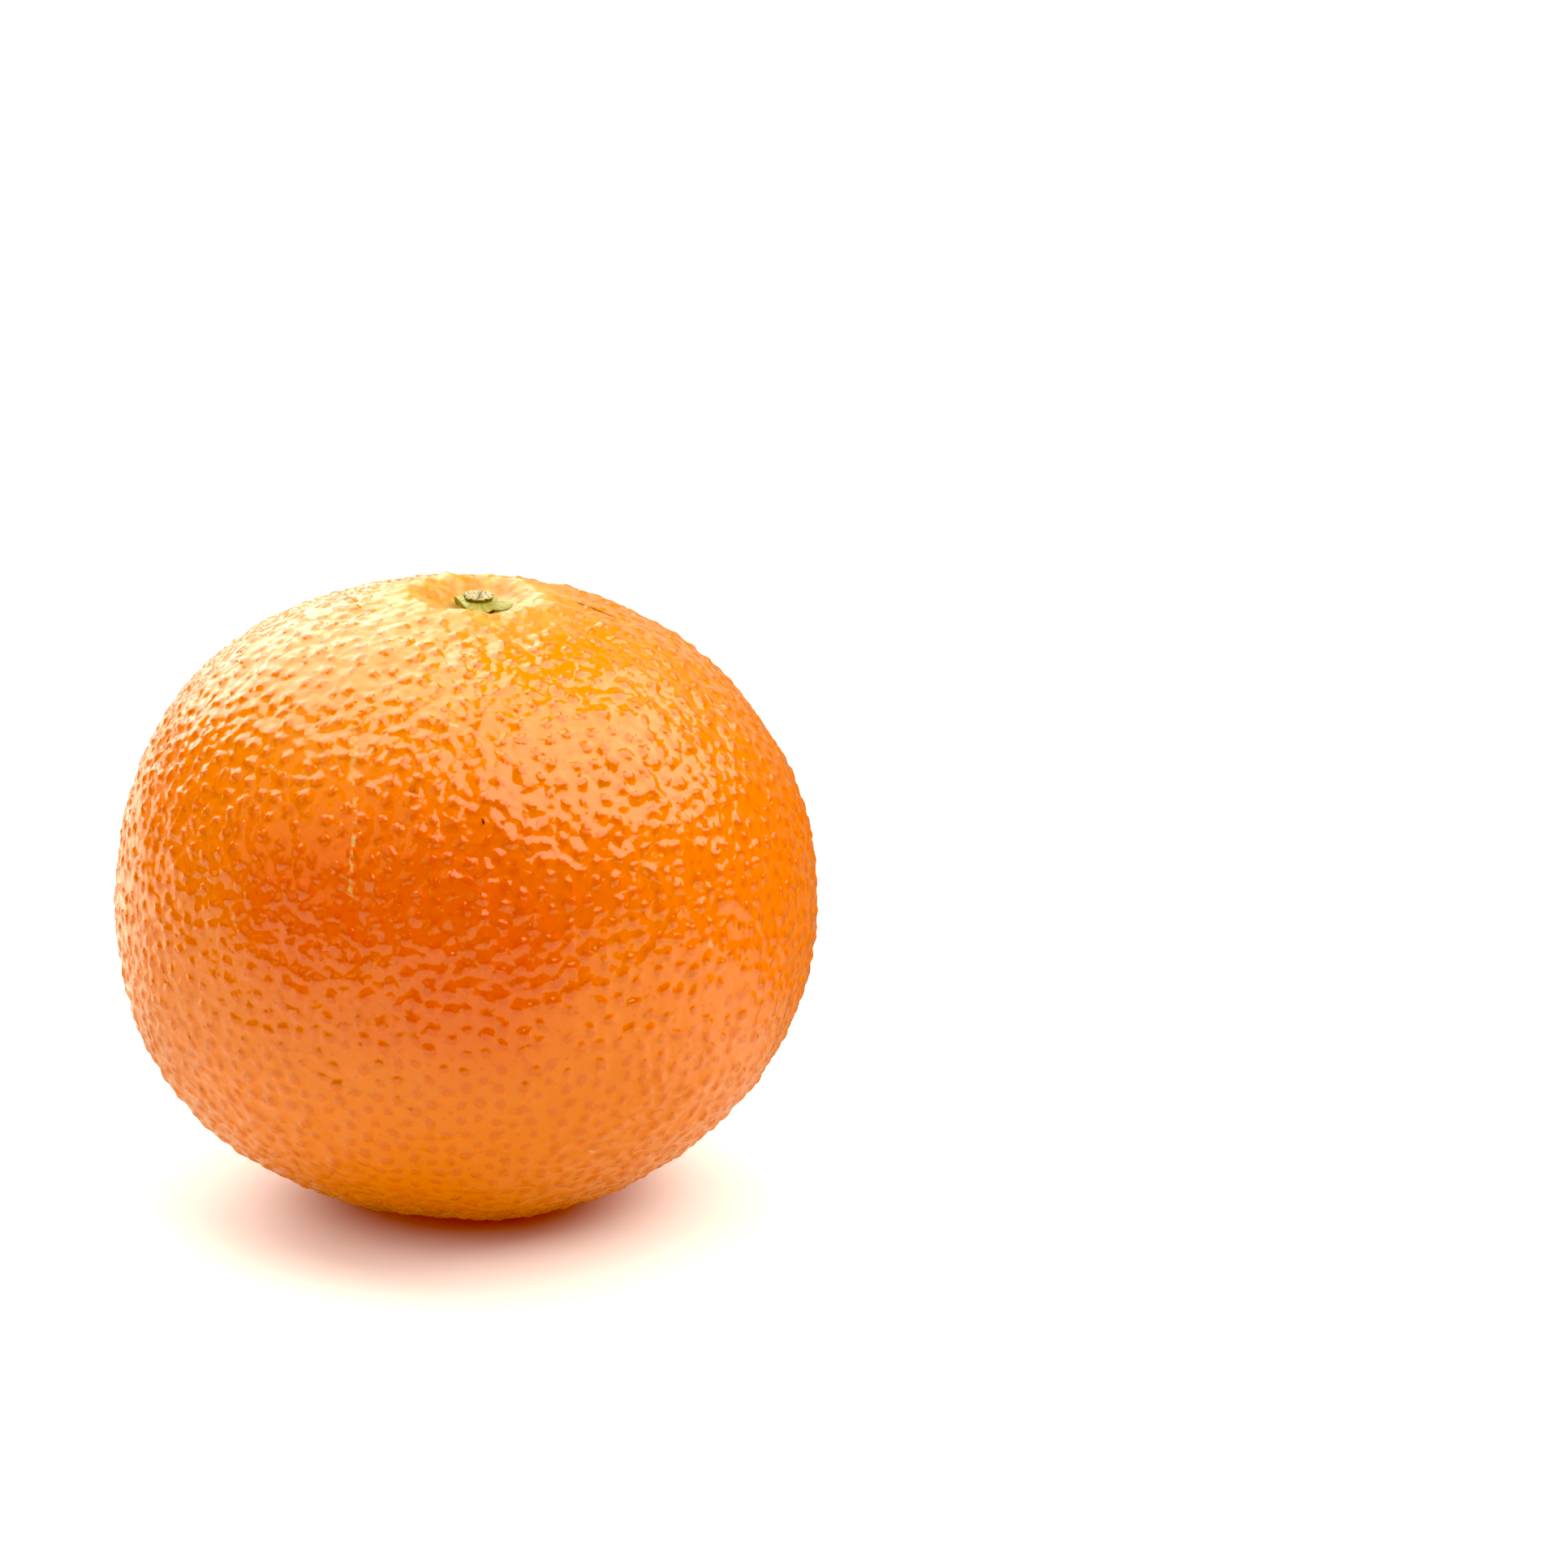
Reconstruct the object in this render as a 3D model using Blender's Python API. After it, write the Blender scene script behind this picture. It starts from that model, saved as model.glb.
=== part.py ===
"""A clementine, picked whole: the fruit, the calyx at its crown and the clipped stub of its stalk.

The fruit grew as one body, so it is one closed solid. Its crown is sunk into a shallow cavity with
a level seat, where the calyx lies, and the stub stands through the calyx. The stalk's axis leans a
little to +X, and the blossom end is pressed into the small flat foot that the fruit rests on.

Metres, +Z up. The origin is on the ground, under the middle of the fruit's box.
"""

import math

import bmesh
import bpy
from mathutils import Matrix, Vector

# The fruit
FRUIT_WIDTH = 0.0618  # left to right, at the widest level
FRUIT_DEPTH = 0.0603  # front to back, at the widest level
CROWN_HEIGHT = 0.0291  # from the widest level up to the crown, before the cavity
BASE_HEIGHT = 0.0264  # from the widest level down to the blossom end
FULLNESS = 2.14  # exponent of the profile: 2 is an ellipse, more has fuller shoulders
LEAN = math.radians(1.9)  # of the stalk's axis, from +Z towards +X
FOOT_RISE = 0.0005  # how far the blossom end is pressed in to make the flat foot

# Where the fruit is fuller or flatter than its profile: azimuth and elevation of the middle
# and the spread, in degrees, then the height in metres
SWELLINGS = (
    (180.0, 40.0, 32.0, 0.00120),  # left shoulder
    (180.0, -38.0, 32.0, 0.00055),  # left side of the base
    (0.0, -38.0, 30.0, -0.00150),  # right side of the base
    (0.0, 30.0, 30.0, -0.00040),  # right shoulder
    (75.0, 22.0, 34.0, 0.00060),  # back
    (118.0, -30.0, 28.0, -0.00050),  # back, low
)

# The cavity at the crown
CAVITY_DEPTH = 0.00175  # of the seat, below the crown
CAVITY_SLOPE = 0.0028  # width of the slope from the seat up to the rim
FURROW_COUNT = 9
FURROW_DEPTH = 0.00034
FURROW_REACH = 0.0165  # distance from the stalk's axis where the furrows have faded out
FURROW_SHARPNESS = 1.6  # 1 is a plain wave, more has narrower creases and wider folds
FURROW_WANDER = 1.1  # unevenness of their spacing, in radians of the wave
FURROW_FADING = 0.3  # share of the depth that comes and goes around the crown
FURROW_PHASES = (0.6, 2.2)  # where around the crown the spacing and the depth change, radians

# The stub of the stalk
STUB_BASE_RADIUS = 0.00115
STUB_CUT_RADIUS = 0.00132  # the cut end is a little flared
STUB_RISE = 0.00070  # height of the cut above the calyx
STUB_SLANT = math.radians(7.0)  # of the cut

# The calyx
LOBE_LENGTHS = (0.00115, 0.00080, 0.00055, 0.00035, 0.00075)  # counterclockwise from the first
FIRST_LOBE_TURN = math.radians(-10)  # azimuth of the first lobe
CALYX_BAND = 0.00030  # width of the ring that the lobes grow from
CALYX_THICKNESS = 0.00055

# Clearances
SEAT_GAP = 0.0003  # under the calyx and the stub
STUB_GAP = 0.0003  # between the stub and the calyx
SEAT_MARGIN = 0.0003  # from the tips of the lobes to the edge of the seat

# How finely the round shapes are divided
FRUIT_SEGMENTS = 64
FRUIT_RINGS = 44
POLE_CROWDING = 0.7  # draws the rings towards both poles, where the detail is
CALYX_STEPS = 60
HOLE_STEPS = 30
STUB_SEGMENTS = 24
STUB_SHARP_ANGLE = math.radians(40)

# Worked out from the sizes above
CALYX_HOLE_RADIUS = max(STUB_BASE_RADIUS, STUB_CUT_RADIUS) + STUB_GAP
CALYX_NOTCH_RADIUS = CALYX_HOLE_RADIUS + CALYX_BAND
CALYX_RADIUS = CALYX_NOTCH_RADIUS + max(LOBE_LENGTHS)
SEAT_RADIUS = CALYX_RADIUS + SEAT_MARGIN
RIM_RADIUS = SEAT_RADIUS + CAVITY_SLOPE
SEAT_LEVEL = CROWN_HEIGHT - CAVITY_DEPTH  # along the stalk's axis, from the widest level


def clear_scene():
    for old in list(bpy.data.objects):
        bpy.data.objects.remove(old, do_unlink=True)


def make_material(name, color, roughness):
    material = bpy.data.materials.new(name)
    material.use_nodes = True
    shader = material.node_tree.nodes["Principled BSDF"]
    shader.inputs["Base Color"].default_value = (*color, 1.0)
    shader.inputs["Roughness"].default_value = roughness
    shader.inputs["Metallic"].default_value = 0.0
    return material


def smooth_step(low, high, value):
    share = min(max((value - low) / (high - low), 0.0), 1.0)
    return share * share * (3.0 - 2.0 * share)


def direction_of(azimuth, elevation):
    return Vector(
        (
            math.cos(elevation) * math.cos(azimuth),
            math.cos(elevation) * math.sin(azimuth),
            math.sin(elevation),
        )
    )


# ---------------------------------------------------------------- fruit


def profile_radius(direction):
    """Distance from the middle to the plain rounded body, along a unit direction."""
    level = math.hypot(direction.x / (FRUIT_WIDTH / 2), direction.y / (FRUIT_DEPTH / 2))
    height = CROWN_HEIGHT if direction.z > 0 else BASE_HEIGHT
    total = level**FULLNESS + abs(direction.z / height) ** FULLNESS
    return total ** (-1.0 / FULLNESS)


def swelling(direction):
    """How far the fruit stands out from, or falls short of, its profile along a direction."""
    total = 0.0
    for azimuth, elevation, spread, height in SWELLINGS:
        middle = direction_of(math.radians(azimuth), math.radians(elevation))
        angle = math.degrees(direction.angle(middle))
        total += height * math.exp(-((angle / spread) ** 2))
    return total


def furrow(azimuth, distance):
    """Depth of the soft radial furrows that run out of the cavity over the shoulders."""
    spacing_phase, depth_phase = FURROW_PHASES
    wander = FURROW_WANDER * (math.sin(2 * azimuth + spacing_phase) + math.sin(3 * azimuth))
    crease = (0.5 + 0.5 * math.cos(FURROW_COUNT * azimuth + wander)) ** FURROW_SHARPNESS
    uneven = 1.0 - FURROW_FADING * (1.0 - math.sin(2 * azimuth + depth_phase))
    grown = smooth_step(SEAT_RADIUS, RIM_RADIUS, distance)
    faded = 1.0 - smooth_step(RIM_RADIUS, FURROW_REACH, distance)
    return FURROW_DEPTH * crease * uneven * grown * faded


def peel_point(unit):
    """Where a point of the unit sphere lies on the fruit, about the stalk's axis."""
    share = math.acos(min(max(unit.z, -1.0), 1.0)) / math.pi
    polar = math.pi * share - POLE_CROWDING * math.sin(2 * math.pi * share) / 2
    azimuth = math.atan2(unit.y, unit.x)
    direction = direction_of(azimuth, math.pi / 2 - polar)
    point = direction * (profile_radius(direction) + swelling(direction))
    if point.z > 0:
        distance = math.hypot(point.x, point.y)
        in_cavity = 1.0 - smooth_step(SEAT_RADIUS, RIM_RADIUS, distance)
        point.z += (SEAT_LEVEL - point.z) * in_cavity
        point.z -= furrow(azimuth, distance)
    return point


def make_fruit(material):
    """The fruit's object, and the shift that brought its foot and its middle to the origin."""
    form = bmesh.new()
    bmesh.ops.create_uvsphere(
        form, u_segments=FRUIT_SEGMENTS, v_segments=FRUIT_RINGS, radius=1.0
    )
    for vert in form.verts:
        vert.co = peel_point(vert.co)
    bmesh.ops.rotate(form, verts=form.verts, matrix=Matrix.Rotation(LEAN, 3, "Y"))

    foot_level = min(vert.co.z for vert in form.verts) + FOOT_RISE
    for vert in form.verts:
        vert.co.z = max(vert.co.z, foot_level)
    across = [vert.co.x for vert in form.verts]
    along = [vert.co.y for vert in form.verts]
    shift = -Vector(
        ((min(across) + max(across)) / 2, (min(along) + max(along)) / 2, foot_level)
    )
    bmesh.ops.translate(form, verts=form.verts, vec=shift)

    mesh = bpy.data.meshes.new("fruit")
    form.to_mesh(mesh)
    form.free()
    mesh.shade_smooth()
    mesh.materials.append(material)
    return bpy.data.objects.new("fruit", mesh), shift


# ---------------------------------------------------------------- stem end


def make_stem_end(shift):
    """The empty on the stalk's axis, at the level of the seat, that carries the stem end."""
    stem_end = bpy.data.objects.new("stem_end", None)
    stem_end.empty_display_size = RIM_RADIUS
    turn = Matrix.Rotation(LEAN, 4, "Y")
    stem_end.matrix_world = (
        Matrix.Translation(shift) @ turn @ Matrix.Translation((0, 0, SEAT_LEVEL))
    )
    return stem_end


def add_outline(curve, steps, radius_at):
    """A closed flat outline around the middle, with a radius for each turn."""
    spline = curve.splines.new("POLY")
    spline.points.add(steps - 1)
    for step, point in enumerate(spline.points):
        turn = 2 * math.pi * step / steps
        radius = radius_at(turn)
        point.co = (radius * math.cos(turn), radius * math.sin(turn), 0.0, 1.0)
    spline.use_cyclic_u = True


def calyx_edge(turn):
    """Distance of the calyx's edge from its middle: the lobes, rounded at tip and notch."""
    lobes = len(LOBE_LENGTHS)
    nearest = round(turn / (2 * math.pi / lobes)) % lobes
    return CALYX_NOTCH_RADIUS + LOBE_LENGTHS[nearest] * (0.5 + 0.5 * math.cos(lobes * turn))


def make_calyx(material, stem_end):
    """The star of sepals: a flat outline with the stub's hole, given its thickness."""
    outline = bpy.data.curves.new("calyx", "CURVE")
    outline.dimensions = "2D"
    outline.fill_mode = "BOTH"
    outline.extrude = CALYX_THICKNESS / 2
    add_outline(outline, CALYX_STEPS, calyx_edge)
    add_outline(outline, HOLE_STEPS, lambda turn: CALYX_HOLE_RADIUS)
    outline.materials.append(material)

    calyx = bpy.data.objects.new("calyx", outline)
    calyx.parent = stem_end
    calyx.location = (0, 0, SEAT_GAP + CALYX_THICKNESS / 2)
    calyx.rotation_euler = (0, 0, FIRST_LOBE_TURN)
    return calyx


def make_stem_stub(material, stem_end):
    """The clipped stalk: a short, slightly flared peg with a slanted cut."""
    height = CALYX_THICKNESS + STUB_RISE
    form = bmesh.new()
    bmesh.ops.create_cone(
        form,
        cap_ends=True,
        segments=STUB_SEGMENTS,
        radius1=STUB_BASE_RADIUS,
        radius2=STUB_CUT_RADIUS,
        depth=height,
    )
    for vert in form.verts:
        if vert.co.z > 0:
            vert.co.z += vert.co.y * math.tan(STUB_SLANT)
    mesh = bpy.data.meshes.new("stem_stub")
    form.to_mesh(mesh)
    form.free()
    mesh.shade_smooth()
    mesh.set_sharp_from_angle(angle=STUB_SHARP_ANGLE)
    mesh.materials.append(material)

    stub = bpy.data.objects.new("stem_stub", mesh)
    stub.parent = stem_end
    stub.location = (0, 0, SEAT_GAP + height / 2)
    return stub


def main():
    clear_scene()
    peel = make_material("peel", (0.84, 0.22, 0.008), 0.34)
    sepal = make_material("sepal", (0.34, 0.31, 0.10), 0.55)
    stalk = make_material("stalk", (0.62, 0.52, 0.34), 0.75)

    fruit, shift = make_fruit(peel)
    stem_end = make_stem_end(shift)
    calyx = make_calyx(sepal, stem_end)
    stub = make_stem_stub(stalk, stem_end)

    clementine = bpy.data.collections.new("clementine")
    bpy.context.scene.collection.children.link(clementine)
    for piece in (fruit, stem_end, calyx, stub):
        clementine.objects.link(piece)


main()
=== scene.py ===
"""A clementine: the peel with its oil glands, the calyx in the crown and the clipped stalk."""

import math

import bmesh
import bpy
import numpy as np
from mathutils import Matrix, Vector, noise
from mathutils.bvhtree import BVHTree
from mathutils.geometry import delaunay_2d_cdt


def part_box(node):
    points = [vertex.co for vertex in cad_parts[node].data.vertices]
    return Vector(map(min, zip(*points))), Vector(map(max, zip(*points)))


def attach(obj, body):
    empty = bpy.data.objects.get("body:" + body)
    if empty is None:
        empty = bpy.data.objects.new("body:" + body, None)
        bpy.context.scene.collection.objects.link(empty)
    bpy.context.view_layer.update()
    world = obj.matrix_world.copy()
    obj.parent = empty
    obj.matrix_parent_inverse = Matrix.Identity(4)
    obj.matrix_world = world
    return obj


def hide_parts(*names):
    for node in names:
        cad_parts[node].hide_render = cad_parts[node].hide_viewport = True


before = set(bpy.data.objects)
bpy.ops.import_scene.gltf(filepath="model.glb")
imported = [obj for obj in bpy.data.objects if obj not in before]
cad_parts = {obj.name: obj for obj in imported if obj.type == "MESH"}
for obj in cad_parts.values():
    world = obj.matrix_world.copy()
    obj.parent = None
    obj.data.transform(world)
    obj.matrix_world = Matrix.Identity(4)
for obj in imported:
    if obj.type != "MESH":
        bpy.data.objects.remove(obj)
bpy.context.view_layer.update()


# ---------------------------------------------------------------- the fruit's form
# The fruit grew as one body, rounded, a little uneven, with a sunken crown and a pressed foot.
# The frame's faceted fruit, merged and subdivided, is the smooth form that the peel is laid on.

FORM_LEVELS = 3
SHRINK_REPAIRS = 3
WELD = 1e-6
PAIR_BEND = math.radians(30)  # largest bend between two facets that are joined into one face
PAIR_SKEW = math.radians(50)
STUB_FOOT_SLICE = 0.0001  # points of the stub this near its lowest one belong to its foot

form_cage = bmesh.new()
form_cage.from_mesh(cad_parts["fruit"].data)
bmesh.ops.remove_doubles(form_cage, verts=form_cage.verts, dist=WELD)
bmesh.ops.join_triangles(
    form_cage,
    faces=form_cage.faces,
    angle_face_threshold=PAIR_BEND,
    angle_shape_threshold=PAIR_SKEW,
)
form_mesh = bpy.data.meshes.new("fruit_form")
form_cage.to_mesh(form_mesh)
form_cage.free()
form = bpy.data.objects.new("fruit_form", form_mesh)
bpy.context.scene.collection.objects.link(form)
smoothing = form.modifiers.new("smooth", "SUBSURF")
smoothing.levels = smoothing.render_levels = FORM_LEVELS


def plain_mesh(piece):
    """The piece's evaluated shape as a mesh of its own."""
    graph = bpy.context.evaluated_depsgraph_get()
    return bpy.data.meshes.new_from_object(piece.evaluated_get(graph))


def vertex_places(mesh):
    places = np.empty(len(mesh.vertices) * 3, np.float32)
    mesh.vertices.foreach_get("co", places)
    return places.reshape(-1, 3)


# Smoothing shrinks the cage, so its points are pushed out until the smooth form meets the solid
cage_places = vertex_places(form_mesh)
wanted = cage_places.copy()
for _ in range(SHRINK_REPAIRS):
    smoothed = plain_mesh(form)
    cage_places += wanted - vertex_places(smoothed)[: len(wanted)]
    bpy.data.meshes.remove(smoothed)
    form_mesh.vertices.foreach_set("co", cage_places.ravel())
    form_mesh.update()
smooth_form = plain_mesh(form)
form.modifiers.clear()
form.data = smooth_form

form_low, form_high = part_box("fruit")
form_middle = (form_low + form_high) / 2

# The stalk's axis: it stands square to the flat calyx, through the middle of the stub's foot
calyx_points = np.array([v.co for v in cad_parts["calyx"].data.vertices])
stem_axis = Vector(np.linalg.svd(calyx_points - calyx_points.mean(axis=0))[2][2])
stem_axis *= 1 if stem_axis.z > 0 else -1
stub_points = np.array([v.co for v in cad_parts["stem_stub"].data.vertices])
along_axis = stub_points @ np.array(stem_axis)
stub_foot_points = stub_points[along_axis < along_axis.min() + STUB_FOOT_SLICE]
stem_foot = Vector(stub_foot_points.mean(axis=0))
stub_radius = float(np.linalg.norm(stub_foot_points - np.array(stem_foot), axis=1).max())
stem_tilt = Vector((0, 0, 1)).rotation_difference(stem_axis)
stem_frame = Matrix.Translation(stem_foot) @ stem_tilt.to_matrix().to_4x4()


# ---------------------------------------------------------------- oil glands
# The peel is full of oil glands, each a low round dome: large ones, and small ones that fill the
# gaps. They shrink towards the crown. A tree scatters their places over the form.

LARGE_SPACING = 0.00152
SMALL_SPACING = 0.00088
FILL_SPACING = 0.00060
LARGE_RADIUS = (0.00048, 0.00074)
SMALL_RADIUS = (0.00024, 0.00042)
GLAND_WALL = 0.00022  # least peel between a small gland or a bare point and a gland's rim
CROWN_SHRINK = 0.55  # size of the glands at the calyx, as a share of the size lower down
CROWN_REACH = 0.0135  # distance from the stalk at which they have their full size
GLANDLESS = 0.0028  # distance from the stalk up to which the seat has no glands
SCATTER_DENSITY = 9e6  # per square metre, before points that stand too close are dropped
GLAND_SEED = 7


def feed(tree, target, source):
    """Links a socket or sets a plain value on the target socket."""
    if isinstance(source, bpy.types.NodeSocket):
        tree.links.new(source, target)
    elif source is not None:
        target.default_value = source


def add_node(tree, kind, inputs=None, **settings):
    """A node with these settings, its inputs fed by their names or numbers."""
    node = tree.nodes.new(kind)
    for name, value in settings.items():
        setattr(node, name, value)
    for name, source in (inputs or {}).items():
        feed(tree, node.inputs[name], source)
    return node


def calculate(tree, operation, *sources, kind="ShaderNodeMath"):
    node = add_node(tree, kind, dict(enumerate(sources)), operation=operation)
    gives_number = operation in ("DISTANCE", "LENGTH", "DOT_PRODUCT")
    return node.outputs["Value"] if gives_number else node.outputs[0]


def on_vectors(tree, operation, *sources):
    return calculate(tree, operation, *sources, kind="ShaderNodeVectorMath")


def scaled(tree, vector, factor):
    inputs = {0: vector, "Scale": factor}
    return add_node(tree, "ShaderNodeVectorMath", inputs, operation="SCALE").outputs[0]


def blend_range(tree, value, low, high, at_low=0.0, at_high=1.0, smooth=True):
    """Goes from one result at the low limit to the other at the high one, and holds beyond them."""
    names = ("Value", "From Min", "From Max", "To Min", "To Max")
    inputs = dict(zip(names, (value, low, high, at_low, at_high)))
    way = "SMOOTHSTEP" if smooth else "LINEAR"
    return add_node(tree, "ShaderNodeMapRange", inputs, interpolation_type=way).outputs["Result"]


def new_geometry_tree(name, values):
    """A geometry tree with a geometry input and output, and a named input for each value."""
    kinds = {float: "Float", int: "Int", Vector: "Vector", bpy.types.Material: "Material"}
    tree = bpy.data.node_groups.new(name, "GeometryNodeTree")
    tree.interface.new_socket("Geometry", in_out="INPUT", socket_type="NodeSocketGeometry")
    for label, value in values.items():
        kind = "NodeSocket" + kinds[type(value)]
        tree.interface.new_socket(label, in_out="INPUT", socket_type=kind)
    tree.interface.new_socket("Geometry", in_out="OUTPUT", socket_type="NodeSocketGeometry")
    return tree, add_node(tree, "NodeGroupInput"), add_node(tree, "NodeGroupOutput")


def apply_tree(piece, tree, values):
    """Gives the piece the tree's result as its own plain mesh."""
    modifier = piece.modifiers.new(tree.name, "NODES")
    modifier.node_group = tree
    for item in tree.interface.items_tree:
        if item.in_out == "INPUT" and item.name in values:
            modifier[item.identifier] = values[item.name]
    made = plain_mesh(piece)
    piece.modifiers.clear()
    return made


site_values = {
    "Large Spacing": LARGE_SPACING,
    "Small Spacing": SMALL_SPACING,
    "Fill Spacing": FILL_SPACING,
    "Density": SCATTER_DENSITY,
    "Wall": GLAND_WALL,
    "Stem": stem_foot,
    "Crown Shrink": CROWN_SHRINK,
    "Crown Reach": CROWN_REACH,
    "Glandless": GLANDLESS,
    "Seed": GLAND_SEED,
}
site_tree, given, result = new_geometry_tree("oil_gland_sites", site_values)


def scatter(tree, spacing, seed_step):
    """Points spread over the form, no two nearer than the spacing."""
    inputs = {
        "Mesh": given.outputs["Geometry"],
        "Distance Min": spacing,
        "Density Max": given.outputs["Density"],
        "Seed": calculate(tree, "ADD", given.outputs["Seed"], seed_step),
    }
    kind = "GeometryNodeDistributePointsOnFaces"
    return add_node(tree, kind, inputs, distribute_method="POISSON").outputs["Points"]


def with_radius(tree, points, radius):
    inputs = {"Name": "gland_radius", "Geometry": points, "Value": radius}
    kind = "GeometryNodeStoreNamedAttribute"
    return add_node(tree, kind, inputs, data_type="FLOAT", domain="POINT").outputs["Geometry"]


def random_between(tree, low, high, seed):
    inputs = {2: low, 3: high, "Seed": seed}
    return add_node(tree, "FunctionNodeRandomValue", inputs, data_type="FLOAT").outputs[1]


def without(tree, points, doomed):
    inputs = {"Geometry": points, "Selection": doomed}
    return add_node(tree, "GeometryNodeDeleteGeometry", inputs, domain="POINT").outputs["Geometry"]


def attribute(tree, name):
    inputs = {"Name": name}
    return add_node(tree, "GeometryNodeInputNamedAttribute", inputs, data_type="FLOAT").outputs[0]


def wall_to(tree, sites):
    """Distance from a point to the rim of the nearest of the sites."""
    nearest = add_node(tree, "GeometryNodeSampleNearest", {"Geometry": sites}, domain="POINT")
    inputs = {
        "Geometry": sites,
        "Value": attribute(tree, "gland_radius"),
        "Index": nearest.outputs["Index"],
    }
    rim = add_node(tree, "GeometryNodeSampleIndex", inputs, data_type="FLOAT", domain="POINT")
    distance = add_node(tree, "GeometryNodeProximity", {"Geometry": sites}, target_element="POINTS")
    return calculate(tree, "SUBTRACT", distance.outputs["Distance"], rim.outputs[0])


place = add_node(site_tree, "GeometryNodeInputPosition").outputs[0]
stem_distance = on_vectors(site_tree, "DISTANCE", place, given.outputs["Stem"])
crown_size = blend_range(
    site_tree,
    stem_distance,
    given.outputs["Glandless"],
    given.outputs["Crown Reach"],
    given.outputs["Crown Shrink"],
    1.0,
)
bare = calculate(site_tree, "LESS_THAN", stem_distance, given.outputs["Glandless"])

large_radius = random_between(site_tree, *LARGE_RADIUS, 1)
large_radius = calculate(site_tree, "MULTIPLY", large_radius, crown_size)
large = without(site_tree, scatter(site_tree, given.outputs["Large Spacing"], 0), bare)
large = with_radius(site_tree, large, large_radius)

small_radius = random_between(site_tree, *SMALL_RADIUS, 2)
small_radius = calculate(site_tree, "MULTIPLY", small_radius, crown_size)
small = without(site_tree, scatter(site_tree, given.outputs["Small Spacing"], 1), bare)
small_room = calculate(site_tree, "ADD", given.outputs["Wall"], small_radius)
crowded = calculate(site_tree, "LESS_THAN", wall_to(site_tree, large), small_room)
small = with_radius(site_tree, without(site_tree, small, crowded), small_radius)

glands = add_node(site_tree, "GeometryNodeJoinGeometry")
for points in (small, large):
    feed(site_tree, glands.inputs[0], points)
fill = scatter(site_tree, given.outputs["Fill Spacing"], 2)
wall = wall_to(site_tree, glands.outputs[0])
crowded = calculate(site_tree, "LESS_THAN", wall, given.outputs["Wall"])
fill = with_radius(site_tree, without(site_tree, fill, crowded), 0.0)

sites = add_node(site_tree, "GeometryNodeJoinGeometry")
for points in (fill, glands.outputs[0]):
    feed(site_tree, sites.inputs[0], points)
as_vertices = add_node(site_tree, "GeometryNodePointsToVertices", {0: sites.outputs[0]})
feed(site_tree, result.inputs[0], as_vertices.outputs[0])

site_mesh = apply_tree(form, site_tree, site_values)
site_places = np.empty((len(site_mesh.vertices), 3))
site_mesh.vertices.foreach_get("co", site_places.ravel())
site_radii = np.empty(len(site_mesh.vertices))
site_mesh.attributes["gland_radius"].data.foreach_get("value", site_radii)


# ---------------------------------------------------------------- the peel
# Clementine peel: thin, waxy, deep orange, yellower at the crown and the foot, where the yellow is
# partly painted light; painted shade deepens the orange on the side towards the camera. Every gland
# is a dome with a faint groove round it, low bumps crowd the skin between, and old rubs have healed;
# two pale strokes among them are painted highlights.

# Where the rings of points round a dome lie, how high, and how far inside the gland they count
INNER_RING_SHARE = 0.42
INNER_RING_RISE = 0.86
INNER_RING_INSIDE = 0.9
INNER_RING_POINTS = 5
FLANK_RING_SHARE = 0.76
FLANK_RING_RISE = 0.45
FLANK_RING_INSIDE = 0.6
FLANK_RING_POINTS = 8
RIM_RISE = -0.12
RIM_POINTS = 9
SMALL_RIM_POINTS = 6
RIM_WANDER = 0.13  # how far a rim point strays from its circle, as a share of the radius
STRETCH = 0.16  # how far a gland is from round
POLE_RING_POINTS = 20
POLE_RING_RADIUS = 0.0010  # a ring round the stalk's foot, out of sight under the stub
BARE_MARGIN = 0.0004  # least distance from that ring to any other point
FLAT_WELD = 1e-9
RING_SEED = 31

chance = np.random.default_rng(RING_SEED)
form_tree = BVHTree.FromPolygons(
    [v.co for v in smooth_form.vertices], [p.vertices for p in smooth_form.polygons]
)
middle = np.array(form_middle)
pole = np.array((stem_foot - form_middle).normalized())
pole_side = np.cross(pole, (0.0, 1.0, 0.0))
pole_side /= np.linalg.norm(pole_side)
pole_front = np.cross(pole, pole_side)


def ring_round(centre, radius, count, share=1.0):
    """Places of a wandering ring of points round each centre, square to the line to the middle."""
    outward = centre - middle
    outward /= np.linalg.norm(outward, axis=1, keepdims=True)
    side = np.cross(outward, pole_front)
    side /= np.linalg.norm(side, axis=1, keepdims=True)
    front = np.cross(outward, side)
    turn = chance.uniform(0, 2 * math.pi, (len(centre), 1))
    angle = turn + np.arange(count) * 2 * math.pi / count
    long_way = chance.uniform(0, 2 * math.pi, (len(centre), 1))
    reach = 1 + STRETCH * np.cos(2 * (angle - long_way))
    reach = reach * (1 + RIM_WANDER * chance.uniform(-1, 1, angle.shape)) * share
    reach = (reach * radius[:, None])[:, :, None]
    ways = np.cos(angle)[:, :, None] * side[:, None] + np.sin(angle)[:, :, None] * front[:, None]
    return (centre[:, None] + reach * ways).reshape(-1, 3)


from_stem = np.linalg.norm(site_places - np.array(stem_foot), axis=1)
kept = from_stem > POLE_RING_RADIUS + BARE_MARGIN
site_places, site_radii = site_places[kept], site_radii[kept]
is_large = site_radii > SMALL_RADIUS[1]
is_small = (site_radii > 0) & ~is_large
is_fill = site_radii == 0
large_places, large_radii = site_places[is_large], site_radii[is_large]
small_places, small_radii = site_places[is_small], site_radii[is_small]
pole_angles = np.arange(POLE_RING_POINTS) * 2 * math.pi / POLE_RING_POINTS
pole_ring = (
    np.array(stem_foot)
    + POLE_RING_RADIUS * np.cos(pole_angles)[:, None] * pole_side
    + POLE_RING_RADIUS * np.sin(pole_angles)[:, None] * pole_front
)

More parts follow.
